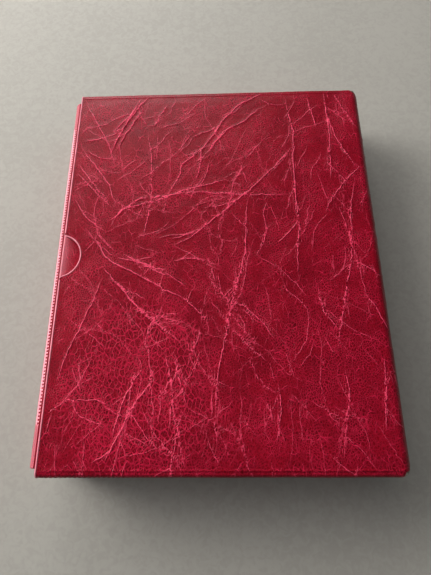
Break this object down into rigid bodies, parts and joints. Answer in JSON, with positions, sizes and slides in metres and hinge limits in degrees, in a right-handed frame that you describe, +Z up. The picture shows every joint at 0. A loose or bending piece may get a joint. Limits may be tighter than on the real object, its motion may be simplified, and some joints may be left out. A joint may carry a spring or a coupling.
{
  "type": "stamp album",
  "caption": "Flat leatherette slipcase with a thumb notch, open at one side, holding a loose-leaf stamp album that slides out by its spine.",
  "frame": {"origin": "middle of the underside of the case and the album's spine together, on the surface the case lies on", "axes": "+X towards the case's closed back, -X out of its mouth, +Y towards the head of the book, +Z up through the front of the case"},
  "size_m": [0.2628, 0.325, 0.054],
  "materials": {
    "case_leatherette": "crushed grain, semi-gloss",
    "cover_leatherette": "fine crushed grain, semi-gloss",
    "greyboard": "pressed, matt",
    "lining_paper": "plain, matt",
    "endpaper": "plain, matt",
    "binding_cloth": "book cloth, matt",
    "post_metal": "turned, lacquered",
    "leaf_card": "heavy card, matt"
  },
  "bodies": {
    "case": {"case_front_board": "greyboard", "case_rear_board": "greyboard", "case_head_board": "greyboard", "case_tail_board": "greyboard", "case_back_board": "greyboard", "case_front_lining": "lining_paper", "case_rear_lining": "lining_paper", "case_head_lining": "lining_paper", "case_tail_lining": "lining_paper", "case_back_lining": "lining_paper", "case_front_skin": "case_leatherette", "case_rear_skin": "case_leatherette", "case_head_strip": "case_leatherette", "case_tail_strip": "case_leatherette", "case_back_skin": "case_leatherette"},
    "album": {"front_cover_board": "greyboard", "rear_cover_board": "greyboard", "spine_board": "greyboard", "album_cover_skin": "cover_leatherette", "front_endpaper": "endpaper", "rear_endpaper": "endpaper", "spine_lining": "endpaper", "front_binding_flap": "binding_cloth", "rear_binding_flap": "binding_cloth", "tail_post_barrel": "post_metal", "middle_post_barrel": "post_metal", "head_post_barrel": "post_metal", "leaf_01": "leaf_card", "leaf_02": "leaf_card", "leaf_03": "leaf_card", "leaf_04": "leaf_card", "leaf_05": "leaf_card", "leaf_06": "leaf_card", "leaf_07": "leaf_card", "leaf_08": "leaf_card", "leaf_09": "leaf_card", "leaf_10": "leaf_card", "leaf_11": "leaf_card", "leaf_12": "leaf_card", "leaf_13": "leaf_card", "leaf_14": "leaf_card", "leaf_15": "leaf_card", "leaf_16": "leaf_card", "leaf_17": "leaf_card", "leaf_18": "leaf_card", "leaf_19": "leaf_card", "leaf_20": "leaf_card", "leaf_21": "leaf_card", "leaf_22": "leaf_card", "leaf_23": "leaf_card", "leaf_24": "leaf_card"},
    "tail_screw": {"tail_post_screw": "post_metal"},
    "middle_screw": {"middle_post_screw": "post_metal"},
    "head_screw": {"head_post_screw": "post_metal"}
  },
  "joints": [
    {"name": "album_slide", "type": "slide", "parent": "case", "child": "album", "axis": [-1, 0, 0], "range_m": [0, 0.26]},
    {"name": "tail_screw_turn", "type": "hinge", "parent": "album", "child": "tail_screw", "pos_m": [-0.11395, -0.1, 0.0454], "axis": [0, 0, 1], "continuous": true},
    {"name": "middle_screw_turn", "type": "hinge", "parent": "album", "child": "middle_screw", "pos_m": [-0.11395, 0, 0.0454], "axis": [0, 0, 1], "continuous": true},
    {"name": "head_screw_turn", "type": "hinge", "parent": "album", "child": "head_screw", "pos_m": [-0.11395, 0.1, 0.0454], "axis": [0, 0, 1], "continuous": true}
  ]
}
